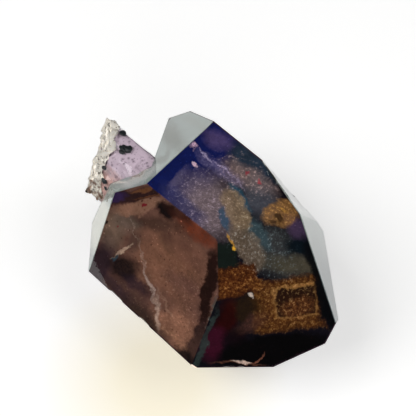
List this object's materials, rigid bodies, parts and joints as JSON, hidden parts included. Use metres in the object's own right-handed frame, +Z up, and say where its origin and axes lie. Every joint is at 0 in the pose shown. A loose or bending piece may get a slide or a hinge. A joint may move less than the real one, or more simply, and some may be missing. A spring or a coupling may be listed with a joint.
{
  "type": "amethyst scepter crystal",
  "caption": "Smoky violet quartz scepter: a wide clear faceted head grown over the end of a slimmer broken stem, resting on a side face.",
  "frame": {"origin": "centre of the bounding box, on the surface it rests on", "axes": "+X along the crystal's length, from the broken stem to the tip; +Z up"},
  "size_m": [0.0638, 0.0402, 0.0366],
  "materials": {
    "smoky_amethyst": "gloss"
  },
  "bodies": {
    "root": {"scepter_crystal": "smoky_amethyst"}
  },
  "joints": []
}
